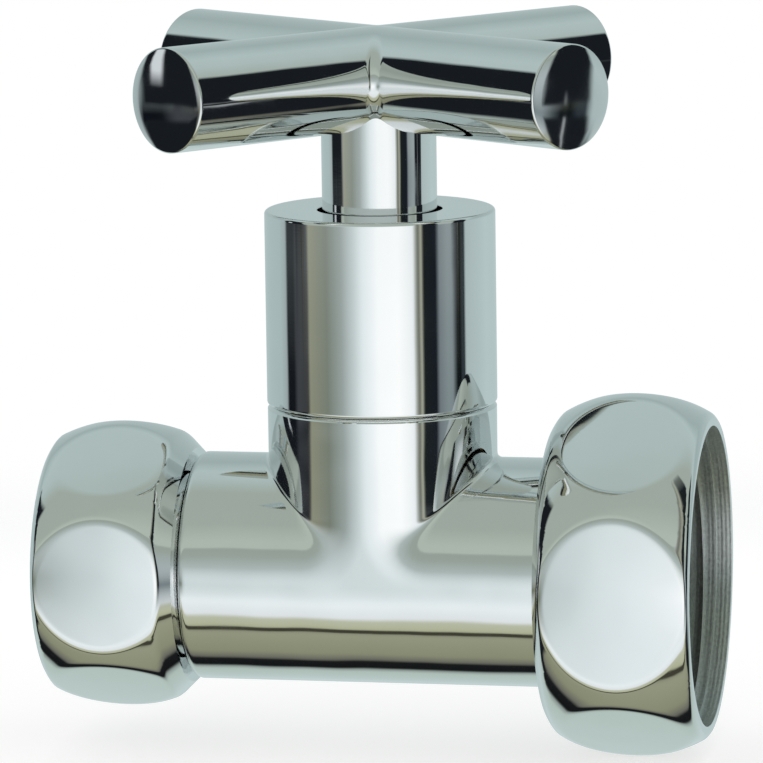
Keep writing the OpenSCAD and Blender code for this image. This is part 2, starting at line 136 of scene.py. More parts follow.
class ValveSizes(PropertyGroup):
    """Sizes that the looks add to the frame."""

    tee_fillet: length_property("Tee fillet", "Fillet where branch and run meet at the sides", 0.7)
    tee_flare: length_property("Tee flare", "Extra reach of that fillet at the tee's front and back", 6.5)
    shoulder_round: length_property("Shoulder round", "Rounded end of the run on the small side", 1.0)
    edge_round: length_property("Edge round", "Rounding of the cover's turned edges", 0.4)
    flat_edge: length_property("Flat edge", "Softness of the edge between a nut's flat and its barrel", 0.3)
    flat_crown: length_property("Flat crown", "Radius of the crown that polishing leaves on a flat", 90)
    valley_fillet: length_property("Valley fillet", "Fillet between two arms of the handle", 1.5)
    arm_rim: length_property("Arm rim", "Rounding of the rim round an arm's end", 0.22)
    arm_dome: length_property("Arm dome", "Height of the dome on an arm's end", 0.36)
    handle_angle: angle_property("Handle angle", "Angle of an arm from the pipe", 53.5)
    turn_steps: IntProperty(name="Steps", description="Steps in a quarter turn", default=56, min=8, max=96)


class ValveFinish(PropertyGroup):
    """Colours and finish of the plated and bare surfaces."""

    chrome: colour_property("Chrome", "Colour of polished chrome plate", "#E6E8E8")
    chrome_inside: colour_property("Thin chrome", "Colour of the thin plate on machined surfaces", "#DADEDC")
    brass: colour_property("Brass", "Colour of bare turned brass", "#C9A765")
    rubber: colour_property("Rubber", "Colour of the gaskets and washers", "#26272A")
    plastic: colour_property("Plastic", "Colour of the thrust washer", "#E9E8E2")
    steel: colour_property("Steel", "Colour of the clip and the set screw", "#8C8E90")
    polish: FloatProperty(
        name="Roughness", description="Roughness of the polished chrome", default=0.04, min=0, max=1,
    )


class ValveStudio(PropertyGroup):
    """Camera and light."""

    azimuth: angle_property("Azimuth", "Camera's turn to the right", 11.3)
    elevation: angle_property("Elevation", "Camera's height angle", 9.0)
    roll: angle_property("Roll", "Camera's roll", -0.8)
    distance: length_property("Distance", "Camera's distance from what it looks at", 700, 100, 3000)
    pixel: length_property("Pixel", "Real size of a pixel at that distance", 0.1157, 0.01, 1)
    aim_right: FloatProperty(
        name="Aim right", description="Pixels from the crossing to the picture's middle", default=-0.6,
    )
    aim_up: FloatProperty(
        name="Aim up", description="Pixels from the crossing to the picture's middle", default=187.0,
    )


# Node and mesh tools


def add(tree, kind, inputs=None, stops=(), **settings):
    """Adds a node. Inputs are nodes, outputs or values by socket; stops are a ramp's (place, hex colour)."""
    node = tree.nodes.new(kind)
    for name, value in settings.items():
        setattr(node, name, value)
    for socket, value in (inputs or {}).items():
        if isinstance(value, bpy.types.Node):
            value = value.outputs[0]
        if isinstance(value, bpy.types.NodeSocket):
            tree.links.new(value, node.inputs[socket])
        else:
            node.inputs[socket].default_value = value
    if stops:
        marks = node.color_ramp.elements
        marks[0].position, marks[1].position = stops[0][0], stops[-1][0]
        for place, code in stops[1:-1]:
            marks.new(place)
        for mark in marks:
            code = min(stops, key=lambda stop: abs(stop[0] - mark.position))[1]
            mark.color = (*hex_rgb(code), 1)
    return node


def finished_piece(name, bm, material, sharp=32):
    """Closes a bmesh into an object with smooth faces, sharp where the surface really turns."""
    bmesh.ops.remove_doubles(bm, verts=bm.verts, dist=2e-7)
    bmesh.ops.dissolve_degenerate(bm, edges=bm.edges, dist=1e-8)
    bmesh.ops.recalc_face_normals(bm, faces=bm.faces)
    mesh = bpy.data.meshes.new(name)
    bm.to_mesh(mesh)
    bm.free()
    piece = bpy.data.objects.new(name, mesh)
    bpy.context.scene.collection.objects.link(piece)
    mesh.materials.append(material)
    smooth(mesh, sharp)
    return piece


def smooth(mesh, sharp=32):
    """Smooth shading, with edges past the given angle kept sharp."""
    mesh.shade_smooth()
    mesh.set_sharp_from_angle(angle=radians(sharp))


def join_rows(bm, rows, closed=False):
    """Fills the quads between rows of points; closed joins the last row to the first."""
    made = [[bm.verts.new(p) for p in row] for row in rows]
    if closed:
        made.append(made[0])
    for a, b in zip(made, made[1:]):
        for i in range(len(a) - 1):
            bm.faces.new((a[i], a[i + 1], b[i + 1], b[i]))


def round_corners(corners, steps=6):
    """Turns a closed outline of (radius, along, rounding) corners into points with real arcs."""
    points = []
    for i, (r, s, rounding) in enumerate(corners):
        here = Vector((r, s))
        before = Vector(corners[i - 1][:2]) - here
        after = Vector(corners[(i + 1) % len(corners)][:2]) - here
        if rounding <= 0:
            points.append(here)
            continue
        half = before.angle(after) / 2
        # a rounding takes just under half of either side at most
        reach = min(rounding / tan(half), before.length * 0.49, after.length * 0.49)
        a, b = here + before.normalized() * reach, here + after.normalized() * reach
        centre = here + (before.normalized() + after.normalized()).normalized() * reach / cos(half)
        radius = reach * tan(half)
        for k in range(steps + 1):
            chord = (a - centre).lerp(b - centre, k / steps)
            way = (a - centre).slerp(b - centre, k / steps, chord)
            points.append(centre + way.normalized() * radius)
    return points


def supported(outline, near=0.06 * MM):
    """A closed outline with a point close to both ends of each long line, so that it shades flat."""
    points = []
    for here, after in zip(outline, outline[1:] + outline[:1]):
        points.append(here)
        run = Vector(after) - Vector(here)
        if run.length > 10 * near:
            step = run.normalized() * near
            points += [Vector(here) + step, Vector(after) - step]
    return points


def turned(name, outline, axis, material, steps):
    """A turned piece from a closed outline of (radius, along) points; axis is X or Z."""
    outline = supported(outline)
    bm = bmesh.new()
    count = steps * 4
    rows = []
    for k in range(count):
        a = 2 * pi * k / count
        if axis == "X":
            rows.append([(s, -r * cos(a), r * sin(a)) for r, s in outline + outline[:1]])
        else:
            rows.append([(r * cos(a), r * sin(a), s) for r, s in outline + outline[:1]])
    join_rows(bm, rows, closed=True)
    return finished_piece(name, bm, material)


def carve(piece, tool, operation="DIFFERENCE"):
    """Cuts a tool out of a piece, or joins it on, and removes the tool. The new faces keep its material."""
    modifier = piece.modifiers.new("carve", "BOOLEAN")
    modifier.operation = operation
    modifier.solver = "EXACT"
    modifier.object = tool
    modifier.material_mode = "TRANSFER"
    plain(piece)
    bpy.data.objects.remove(tool)


def plain(piece):
    """Puts a piece's modifiers into its mesh and removes them."""
    depsgraph = bpy.context.evaluated_depsgraph_get()
    depsgraph.update()
    mesh = bpy.data.meshes.new_from_object(piece.evaluated_get(depsgraph))
    if not mesh.polygons:
        raise RuntimeError(f"{piece.name} came out without faces")
    piece.modifiers.clear()
    bm = bmesh.new()
    bm.from_mesh(mesh)
    bmesh.ops.remove_doubles(bm, verts=bm.verts, dist=1e-6)
    bmesh.ops.dissolve_degenerate(bm, edges=bm.edges, dist=1e-7)
    bm.to_mesh(mesh)
    bm.free()
    piece.data = mesh


def soft_min(a, b, width):
    """The smaller of two surfaces, with a rounded edge where they cross."""
    h = max(width - abs(a - b), 0) / width
    return min(a, b) - h * h * width / 4


def fillet_curve(reach):
    """Points of a fillet in a right corner at 0, 0, from (0, reach) to (reach, 0).

    It is a curve of the fifth degree that leaves both walls without a step in its bend.
    """
    steps = 10
    points = []
    for k in range(steps + 1):
        t = k / steps
        u = 1 - t
        x = 10 * u * u * t**3 / 3 + 5 * u * t**4 * 2 / 3 + t**5
        z = u**5 + 5 * u**4 * t * 2 / 3 + 10 * u**3 * t * t / 3
        points.append((x * reach, z * reach))
    return points


# Materials


def new_surface(name):
    """An empty material: itself, its tree, its shader and the coordinates of the object that wears it."""
    material = bpy.data.materials.new(name)
    material.use_nodes = True
    tree = material.node_tree
    return material, tree, tree.nodes["Principled BSDF"], add(tree, "ShaderNodeTexCoord").outputs["Object"]


def finish_surface(tree, shader, colours, share, rough, normal, metallic):
    """Joins a two-tone colour, a roughness and a bump to the shader."""
    tones = {0: share, 6: (*colours[0], 1), 7: (*colours[1], 1)}
    tint = add(tree, MIX, tones, data_type="RGBA")
    tree.links.new(tint.outputs[2], shader.inputs["Base Color"])
    tree.links.new(rough.outputs[0], shader.inputs["Roughness"])
    tree.links.new(normal.outputs[0], shader.inputs["Normal"])
    shader.inputs["Metallic"].default_value = metallic


def grain_scale(millimetres):
    """Scale of a noise whose patches are about that large."""
    return 1 / (millimetres * MM)


def ring_scale(millimetres):
    """Scale of a wave texture whose rings lie that far apart: it draws one every pi / 10 units."""
    return pi / 10 / (millimetres * MM)


def shaded(colour, share):
    """A darker tone of a colour."""
    return [c * share for c in colour]


def polished_chrome(name, finish, waviness, shift):
    """Bright chrome plate over buffed brass: a mirror with faint marks and slow waves from the wheel."""
    material, tree, shader, place = new_surface(name)
    # buffing haze in patches of 6 mm, over wheel marks 0.2 mm wide, which is coarser than real
    # ones, so that they show; shift alters the patches, so that each piece has its own
    haze = add(tree, NOISE, {"Vector": place, "Scale": grain_scale(6.25) + shift, "Detail": 3})
    mark_scales = [grain_scale(size) for size in (1.11, 3.85, 0.1923)]
    strokes = add(tree, "ShaderNodeMapping", {"Vector": place, "Scale": mark_scales})
    marks = add(tree, NOISE, {"Vector": strokes, "Scale": 1, "Detail": 2})
    low, high = finish.polish * 0.6, finish.polish * 1.9
    rough = add(
        tree, RANGE, {"Value": haze, "From Min": 0.35, "From Max": 0.75, "To Min": low, "To Max": high},
    )
    # the wheel's pressure leaves waves about 10 mm long, which bend the edges of what the metal mirrors
    wave = add(tree, NOISE, {"Vector": place, "Scale": grain_scale(10.53) + shift, "Detail": 1})
    peel = add(tree, BUMP, {"Height": wave, "Distance": waviness * MM})
    fine = add(tree, BUMP, {"Height": marks, "Normal": peel, "Distance": 0.00035 * MM})
    tones = (finish.chrome, shaded(finish.chrome, 0.95))
    finish_surface(tree, shader, tones, haze, rough, fine, 1)
    return material


def machined_chrome(finish):
    """Turned brass under a thin flash of chrome: the nuts' mouths, with tool rings and grey speckle."""
    material, tree, shader, place = new_surface("machined_thin_chrome")
    # tool rings about the pipe, 0.5 mm apart: coarser than real ones, so that they show
    rings = add(
        tree, "ShaderNodeTexWave", {"Vector": place, "Scale": ring_scale(0.491), "Distortion": 0.6},
        bands_direction="X",
    )
    speckle = add(tree, NOISE, {"Vector": place, "Scale": grain_scale(0.3846), "Detail": 2})
    shade = add(tree, RANGE, {"Value": speckle, "From Min": 0.35, "From Max": 0.7})
    rough = add(tree, RANGE, {"Value": speckle, "To Min": 0.28, "To Max": 0.5})
    bump = add(tree, BUMP, {"Height": rings, "Distance": 0.008 * MM})
    grain = add(tree, BUMP, {"Height": speckle, "Normal": bump, "Distance": 0.012 * MM})
    tones = (shaded(finish.chrome_inside, 0.8), finish.chrome_inside)
    finish_surface(tree, shader, tones, shade, rough, grain, 1)
    return material


def turned_brass(finish):
    """Bare free-cutting brass: satin, with fine tool rings and slightly tarnished patches."""
    material, tree, shader, place = new_surface("turned_brass")
    tarnish = add(tree, NOISE, {"Vector": place, "Scale": grain_scale(4.55), "Detail": 4})
    # tool marks 0.6 mm apart along the spindle: coarser than real ones, so that they show
    rings = add(
        tree, "ShaderNodeTexWave", {"Vector": place, "Scale": ring_scale(0.604), "Distortion": 0.4},
        bands_direction="Z",
    )
    rough = add(tree, RANGE, {"Value": tarnish, "To Min": 0.2, "To Max": 0.42})
    bump = add(tree, BUMP, {"Height": rings, "Distance": 0.008 * MM})
    tones = (finish.brass, shaded(finish.brass, 0.62))
    finish_surface(tree, shader, tones, tarnish, rough, bump, 1)
    return material


def matt_moulding(name, colour, grain, roughness, metallic=0):
    """A moulded or plain small part: even colour with a grain of the given size in millimetres."""
    material, tree, shader, place = new_surface(name)
    noise = add(tree, NOISE, {"Vector": place, "Scale": grain_scale(grain), "Detail": 3})
    low, high = roughness * 0.8, roughness * 1.2
    rough = add(tree, RANGE, {"Value": noise, "To Min": low, "To Max": high})
    bump = add(tree, BUMP, {"Height": noise, "Distance": 0.01 * MM})
    finish_surface(tree, shader, (colour, shaded(colour, 0.75)), noise, rough, bump, metallic)
    return material


def finish_named(name):
    """A finish, made the first time that a piece asks for it."""
    made = bpy.data.materials.get(name)
    if made:
        return made
    finish = bpy.context.scene.valve_finish
    # a forging comes off the wheel wavier than a turned cover, by the given depth in millimetres
    makers = {
        "polished_chrome_body": lambda: polished_chrome(name, finish, 0.12, 0),
        "polished_chrome_cover": lambda: polished_chrome(name, finish, 0.02, 5),
        "polished_chrome_nuts": lambda: polished_chrome(name, finish, 0.08, 11),
        "polished_chrome_handle": lambda: polished_chrome(name, finish, 0.05, 23),
        "machined_thin_chrome": lambda: machined_chrome(finish),
        "turned_brass": lambda: turned_brass(finish),
        "moulded_rubber": lambda: matt_moulding(name, finish.rubber, 1.11, 0.62),
        "moulded_acetal": lambda: matt_moulding(name, finish.plastic, 1.43, 0.4),
        "blued_spring_steel": lambda: matt_moulding(name, finish.steel, 0.667, 0.28, 1),
    }
    return makers[name]()


def dressed(piece, body, slot, *nodes):
    """Puts a finished piece on its body, in place of its nodes; the slot is not used."""
    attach(piece, body)
    if nodes:
        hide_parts(*nodes)


# The body


def tee_reach(sizes, out):
    """Reach of the tee's fillet; out is 0 at the sides of the tee and 1 at its front and back."""
    # the high power keeps the flare close to the front and the back
    return sizes.tee_fillet + sizes.tee_flare * out**16


def end_outline(side, sizes):
    """(radius, distance from the branch) points of one end of the run, after its straight part."""
    edge, groove = BODY_EDGE, 1.0 * MM
    if side > 0:
        low, high = RING_LARGE[0].x, RING_LARGE[1].x
        tip = BODY_HIGH.x
        return [
            (RUN_R, low), (RUN_R - groove, low), (RUN_R - groove, high), (RUN_R, high),
            (RUN_R, tip - edge), (RUN_R - edge, tip), (0, tip),
        ]
    tail_r = 10.5 * MM
    r, arc_steps = sizes.shoulder_round, 8
    arc = []
    for k in range(arc_steps + 1):
        a = pi / 2 * k / arc_steps
        arc.append((RUN_R - r + r * cos(a), SHOULDER - r + r * sin(a)))
    low, high = -RING_SMALL[1].x, -RING_SMALL[0].x
    tip = -BODY_LOW.x
    return arc + [
        (tail_r, SHOULDER), (tail_r, low), (tail_r - groove, low), (tail_r - groove, high), (tail_r, high),
        (tail_r, tip - edge), (tail_r - edge, tip), (0, tip),
    ]


def tee_shell(sizes, material):
    """The forging's outside: run and branch with their blend, closed across the ends."""
    bm = bmesh.new()
    steps = sizes.turn_steps
    top, edge = BODY_HIGH.z, BODY_EDGE
    straight = {1: STRAIGHT_LARGE, -1: SHOULDER - sizes.shoulder_round}
    # rows close to both ends of a long face keep its shading straight
    along = [0, 0.01, *(k / 8 for k in range(1, 8)), 0.98, 1]
    flare = tee_reach(sizes, 1)
    for side in (1, -1):
        outline = end_outline(side, sizes)
        for front in (1, -1):
            rows = []
            for k in range(steps + 1):
                a = pi / 2 * k / steps
                # exact at the last row, where the upper and the lower half meet
                up, out = (cos(a), sin(a)) if k < steps else (0.0, 1.0)
                y = -front * RUN_R * out
                corner = RUN_R * up
                reach = tee_reach(sizes, out)
                start = corner + reach
                row = [(0, 0, top), (side * (RUN_R - edge) * up, -front * (RUN_R - edge) * out, top)]
                row += [(side * corner, y, top - edge + (start - top + edge) * t) for t in along[:-1]]
                row += [(side * (corner + x), y, corner + z) for x, z in fillet_curve(reach)]
                row += [(side * (start + (straight[side] - start) * t), y, corner) for t in along[1:]]
                row += [(side * s, -front * r * out, r * up) for r, s in outline]
                rows.append(row)
            join_rows(bm, rows)
            lower = [0] + [flare + (straight[side] - flare) * t for t in along]
            rows = []
            for k in range(steps + 1):
                a = pi / 2 * k / steps
                row = [(side * x, -front * RUN_R * cos(a), -RUN_R * sin(a)) for x in lower]
                row += [(side * s, -front * r * cos(a), -r * sin(a)) for r, s in outline]
                rows.append(row)
            join_rows(bm, rows)
    # the flat web between the two flares, at the front and at the back
    for y in (-RUN_R, RUN_R):
        curve = fillet_curve(flare)
        for (x0, z0), (x1, z1) in zip(curve, curve[1:]):
            corners = [(-x0, y, z0), (x0, y, z0), (x1, y, z1)]
            corners += [(0, y, 0)] if z1 == 0 else []
            bm.faces.new([bm.verts.new(p) for p in corners + [(-x1, y, z1)]])
    return finished_piece("valve_forging", bm, material, sharp=40)


def waterways(brass):
    """Tools for all that is drilled and turned out of the forging."""
    steps, port_steps = 32, 16
    seat = SEAT_WASHER_LOW.z - 0.1 * MM
    seat_foot = seat - 1.0 * MM
    lip_in, lip_out, lip_round = 5.5 * MM, 6.9 * MM, 0.65 * MM
    chamber_r, chamber_low = 9.2 * MM, -8.8 * MM
    shank_r, shank_low = 10.5 * MM, HEADWORK_LOW.z - 0.5 * MM
    seal_r = SEAL_HIGH.x + 0.15 * MM
    past_top = BODY_HIGH.z + MM
    stack = [
        (0, chamber_low, 0), (lip_in, chamber_low, 0), (lip_in, seat, lip_round), (lip_out, seat, lip_round),
        (lip_out, seat_foot, 0), (chamber_r, seat_foot, 0), (chamber_r, shank_low, 0),
        (shank_r, shank_low, 0), (shank_r, SEAL_LOW.z, 0), (seal_r, SEAL_LOW.z, 0), (seal_r, past_top, 0),
        (0, past_top, 0),
    ]
    small_r, small_mouth, small_floor = 8.5 * MM, BODY_LOW.x - MM, -11.5 * MM
    small = [(0, small_mouth), (small_r, small_mouth), (small_r, small_floor), (0, small_floor)]
    large_r, large_floor, large_mouth = 10 * MM, 12.75 * MM, BODY_HIGH.x + MM
    large = [(0, large_floor), (large_r, large_floor), (large_r, large_mouth), (0, large_mouth)]
    tools = [
        turned("tool_stack", round_corners(stack), "Z", brass, steps),
        turned("tool_small_bore", small, "X", brass, steps),
        turned("tool_large_bore", large, "X", brass, steps),
    ]
    # the small end's port comes in below the seat and the large end's leaves above it
    port_r = 3.7 * MM
    for low, high, rise in ((-12.5 * MM, 0.37 * MM, -5.7 * MM), (7.5 * MM, 13.75 * MM, 5.2 * MM)):
        port = [(0, low), (port_r, low), (port_r, high), (0, high)]
        drill = turned("tool_port", port, "X", brass, port_steps)
        drill.data.transform(Matrix.Translation((0, 0, rise)))
        tools.append(drill)
    return tools


class VALVE_OT_body(Operator):
    """Builds the forged tee body with its blended junction and bores"""

    bl_idname = "valve.body"
    bl_label = "Body"

    def execute(self, context):
        sizes = context.scene.valve_sizes
        shell = tee_shell(sizes, finish_named("polished_chrome_body"))
        shell.data.materials.append(finish_named("turned_brass"))
        for tool in waterways(finish_named("turned_brass")):
            carve(shell, tool)
        smooth(shell.data, sharp=40)
        dressed(shell, "body", "chrome_body", "valve_body")
        return {"FINISHED"}


# The union nuts


class UnionNut:
    """One nut's sizes, worked out from its box and its thread, and the form of its outside.

    s is a distance from the nut's back and an angle is measured from the middle of a flat.
    """

    def __init__(self, size, sizes):
        own = NUT_OWN[size]
        low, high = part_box(f"union_nut_{size}")
        self.direction = 1 if size == "large" else -1
        self.back = low.x if size == "large" else -high.x
        self.length, self.flat, self.r_max = high.x - low.x, high.y, high.z
        self.raised, self.edge = own["raised"], sizes.flat_edge
        self.crown, self.crown_edge = sizes.flat_crown * own["crown_share"], own["crown_edge"]
        # the barrel is an arc, cut by a cone at its back and by one at its rim
        self.middle, bulge = self.length / 2 + own["middle_shift"], own["bulge"]
        self.arc_r = ((self.length / 2) ** 2 + bulge**2) / (2 * bulge)
        self.back_r, self.back_round, self.back_slope = own["back_r"], own["back_round"], own["back_slope"]
        self.rim_round = 0.25 * MM
        self.rim_r, self.rim_slope = own["rim_r"] - self.rim_round, 1.6
        # inside: the collar that holds the nut on its tail, a relief, the thread and the mouth
        collar, relief, mouth_depth, relief_room = 3.8 * MM, 4.4 * MM, 1.8 * MM, 0.3 * MM
        self.pitch, self.thread_depth = own["pitch"], own["thread_depth"]
        self.root_r = own["thread_r"] + self.thread_depth
        self.thread_from, self.thread_to = collar + relief, self.length - mouth_depth
        relief_r, mouth_r = self.root_r + relief_room, self.root_r + own["mouth_room"]
        bore_r, past = own["bore_r"], 1.0 * MM
        outline = round_corners([
            (bore_r, 0, 0.15 * MM), (bore_r, collar, 0), (relief_r, collar, 0),
            (relief_r, self.thread_from, 0), (self.root_r, self.thread_from, 0),
            (self.root_r, self.thread_to, 0), (mouth_r, self.thread_to, 0),
            (mouth_r, self.length, 0.12 * MM), (own["rim_r"] + past, self.length + past, 0),
            (bore_r, -past, 0),
        ], steps=4)
        # the two points past the ends only give the first and last corner their rounding
        self.inside = [(r, s) for r, s in outline if -1e-9 <= s <= self.length + 1e-9]
        self.thin_r, self.thin_from = mouth_r + 0.05 * MM, collar * 0.5

    def barrel(self, s):
        """Radius of the turned barrel."""
        r = self.r_max - self.arc_r + sqrt(max(self.arc_r**2 - (s - self.middle) ** 2, 0))
        r = soft_min(r, self.back_r + s * self.back_slope, self.back_round)
        return soft_min(r, self.rim_r + (self.length - s) * self.rim_slope, self.rim_round)

    def drop(self, s, angle, raised):
        """Depth of one slightly crowned flat below the barrel."""
        # a neighbour's flat is met at up to 90 degrees, where it lies endlessly far out
        flat = (self.flat + raised) / max(cos(angle), 0.01)
        off = (s - self.middle) ** 2 + (self.flat * min(tan(abs(angle)), 9)) ** 2
        if off < (2 * self.crown_edge) ** 2:
            flat += (self.crown_edge**2 - off) / (2 * self.crown)
        return self.barrel(s) - soft_min(self.barrel(s), flat, self.edge)

    def radius(self, s, angle, flat):
        """Radius of the outside near one flat, which its two neighbours cut too."""
        step = pi / 3
        around = ((flat - 1, angle + step), (flat, angle), ((flat + 1) % 6, angle - step))
        return self.barrel(s) - sum(self.drop(s, a, self.raised[i]) for i, a in around)

    def spoke(self, s, angle, raised):
        """Places from the middle of a flat to its sector's border, close together at the flat's edge."""
        ds = s - self.middle
        # by halves, the share of the way at which the flat runs into the barrel
        low, high = 0.0, 1.0
        for _ in range(30):
            t = (low + high) / 2
            if self.barrel(self.middle + ds * t) > (self.flat + raised) / cos(angle * t):
                low = t
            else:
                high = t
        run = sqrt(ds**2 + (self.flat * angle) ** 2)
        close, close_steps, rim_steps = 0.9 * MM, 6, 12
        near = min(close / run, low * 0.4, (1 - low) * 0.6)
        shares = [0, low * 0.2, low * 0.4, low * 0.6]
        shares += [low + near * (k / close_steps - 1) for k in range(2 * close_steps + 1)]
        # closer together again towards the rim
        shares += [1 - (1 - low - near) * (1 - k / rim_steps) ** 2 for k in range(1, rim_steps + 1)]
        return [(self.middle + ds * t, angle * t) for t in shares]

    def place(self, s, r, angle):
        """A point in the frame; the angle is measured from the front."""
        return self.direction * (self.back + s), -r * cos(angle), r * sin(angle)

    def thin_plated(self, face):
        """Whether a face lies in the mouth or the relief, where little chrome reaches."""
        middle = sum(self.direction * v.co.x - self.back for v in face.verts) / len(face.verts)
        reach = max(sqrt(v.co.y**2 + v.co.z**2) for v in face.verts)
        return reach < self.thin_r and middle > self.thin_from


def nut_shell(name, nut, material, inside_material):
    """A nut with six oval flats on a barrel, its bore, relief and mouth."""
    length_steps, sector_steps = 56, 40
    sector = pi / 6
    sides = [nut.length * (1 - cos(pi * k / length_steps)) / 2 for k in range(length_steps + 1)]
    turns = [-sector + 2 * sector * k / sector_steps for k in range(sector_steps + 1)]
    border = [(s, -sector) for s in sides[:-1]] + [(nut.length, t) for t in turns[:-1]]
    border += [(s, sector) for s in reversed(sides[1:])] + [(0, t) for t in reversed(turns[1:])]
    bm = bmesh.new()
    for flat, raised in enumerate(nut.raised):
        turn = 2 * sector * flat
        rows = []
        for s, angle in border:
            spoke = nut.spoke(s, angle, raised)
            rows.append([nut.place(t, nut.radius(t, a, flat), a + turn) for t, a in spoke])
        join_rows(bm, rows, closed=True)
    rows = []
    for flat in range(6):
        for t in turns[:-1]:
            a = 2 * sector * flat + t
            row = [nut.place(0, nut.radius(0, t, flat), a)] + [nut.place(s, r, a) for r, s in nut.inside]
            rows.append(row + [nut.place(nut.length, nut.radius(nut.length, t, flat), a)])
    outer_faces = len(bm.faces)
    join_rows(bm, rows, closed=True)
    bm.faces.ensure_lookup_table()
    for face in bm.faces[outer_faces:]:
        face.material_index = int(nut.thin_plated(face))
    piece = finished_piece(name, bm, material, sharp=35)
    piece.data.materials.append(inside_material)
    return piece


class VALVE_OT_nuts(Operator):
    """Builds both union nuts: barrel-turned hexagons with oval flats"""

    bl_idname = "valve.nuts"
    bl_label = "Union nuts"

    def execute(self, context):
        for size in NUT_OWN:
            nut = UnionNut(size, context.scene.valve_sizes)
            outside, inside = finish_named("polished_chrome_nuts"), finish_named("machined_thin_chrome")
            shell = nut_shell(f"union_nut_shell_{size}", nut, outside, inside)
            dressed(shell, f"{size}_nut", "chrome_nut", f"union_nut_{size}")
        return {"FINISHED"}


def thread_tree():
    """Geometry nodes that lay a tapering ridge on a helix: an inside pipe thread."""
    tree = bpy.data.node_groups.new("pipe_thread", "GeometryNodeTree")
    face = tree.interface
    face.new_socket("Geometry", in_out="INPUT", socket_type="NodeSocketGeometry")
    defaults = {"Pitch": 2.3 * MM, "Length": 8 * MM, "Root Radius": 16 * MM, "Depth": 1.4 * MM}
    for name, default in defaults.items():
        face.new_socket(name, in_out="INPUT", socket_type="NodeSocketFloat").default_value = default
    face.new_socket("Material", in_out="INPUT", socket_type="NodeSocketMaterial")
    face.new_socket("Geometry", in_out="OUTPUT", socket_type="NodeSocketGeometry")
    given = add(tree, "NodeGroupInput").outputs
    turns = add(tree, MATH, {0: given["Length"], 1: given["Pitch"]}, operation="DIVIDE")
    spiral = {
        "Rotations": turns, "Start Radius": given["Root Radius"], "End Radius": given["Root Radius"],
        "Height": given["Length"], "Resolution": 128,
    }
    helix = add(tree, "GeometryNodeCurveSpiral", spiral)
    upright = add(tree, "GeometryNodeSetCurveNormal", {0: helix}, mode="Z_UP")
    # the ridge grows out of the wall over the first turn's start and runs out again at the far end
    share = add(tree, "GeometryNodeSplineParameter").outputs["Factor"]
    grown, fading, flush = 0.07, 0.95, 0.02
    rise = add(tree, RANGE, {"Value": share, "From Max": grown, "To Min": flush})
    fall = add(tree, RANGE, {"Value": share, "From Min": fading, "To Min": 1, "To Max": flush})
    taper = add(tree, MATH, {0: rise, 1: fall}, operation="MINIMUM")
    ready = add(tree, "GeometryNodeSetCurveRadius", {0: upright, "Radius": taper})
    # the ridge is nearly a pitch wide at its foot, which lies a tenth of the depth inside the wall
    sunk = 0.1
    foot = add(tree, MATH, {0: given["Pitch"], 1: 0.96}, operation="MULTIPLY")
    crest = add(tree, MATH, {0: given["Pitch"], 1: 0.14}, operation="MULTIPLY")
    height = add(tree, MATH, {0: given["Depth"], 1: 1 + sunk}, operation="MULTIPLY")
    lift = add(tree, MATH, {0: given["Depth"], 1: (1 - sunk) / 2}, operation="MULTIPLY")
    section = {"Bottom Width": foot, "Top Width": crest, "Height": height, "Offset": 0}
    middle = add(tree, "GeometryNodeCurvePrimitiveQuadrilateral", section, mode="TRAPEZOID")
    move = add(tree, "ShaderNodeCombineXYZ", {"Y": lift})
    ridge = add(tree, "GeometryNodeTransform", {0: middle, "Translation": move})
    solid = add(tree, "GeometryNodeCurveToMesh", {"Curve": ready, "Profile Curve": ridge, "Fill Caps": True})
    real = add(tree, "GeometryNodeRealizeInstances", {0: solid})
    done = add(tree, "GeometryNodeSetMaterial", {0: real, "Material": given["Material"]})
    add(tree, "NodeGroupOutput", {0: done})
    return tree


class VALVE_OT_threads(Operator):
    """Lays the inside pipe threads in the mouths of both nuts with Geometry Nodes"""

    bl_idname = "valve.threads"
    bl_label = "Pipe threads"

    def execute(self, context):
        tree = thread_tree()
        for size in NUT_OWN:
            nut = UnionNut(size, context.scene.valve_sizes)
            mesh = bpy.data.meshes.new(f"pipe_thread_{size}")
            piece = bpy.data.objects.new(f"pipe_thread_{size}", mesh)
            context.scene.collection.objects.link(piece)
            modifier = piece.modifiers.new("thread", "NODES")
            modifier.node_group = tree
            values = {
                "Pitch": nut.pitch, "Length": nut.thread_to - nut.thread_from, "Root Radius": nut.root_r,
                "Depth": nut.thread_depth, "Material": finish_named("machined_thin_chrome"),
            }
            for item in tree.interface.items_tree:
                if item.in_out == "INPUT" and item.name in values:
                    modifier[item.identifier] = values[item.name]
            plain(piece)
            turn = Matrix.Rotation(nut.direction * pi / 2, 4, "Y")
            start = Matrix.Translation((nut.direction * (nut.back + nut.thread_from), 0, 0))
            piece.data.transform(start @ turn)
            smooth(piece.data, sharp=30)
            dressed(piece, f"{size}_nut", "chrome_nut")
        return {"FINISHED"}


# Cover and handle


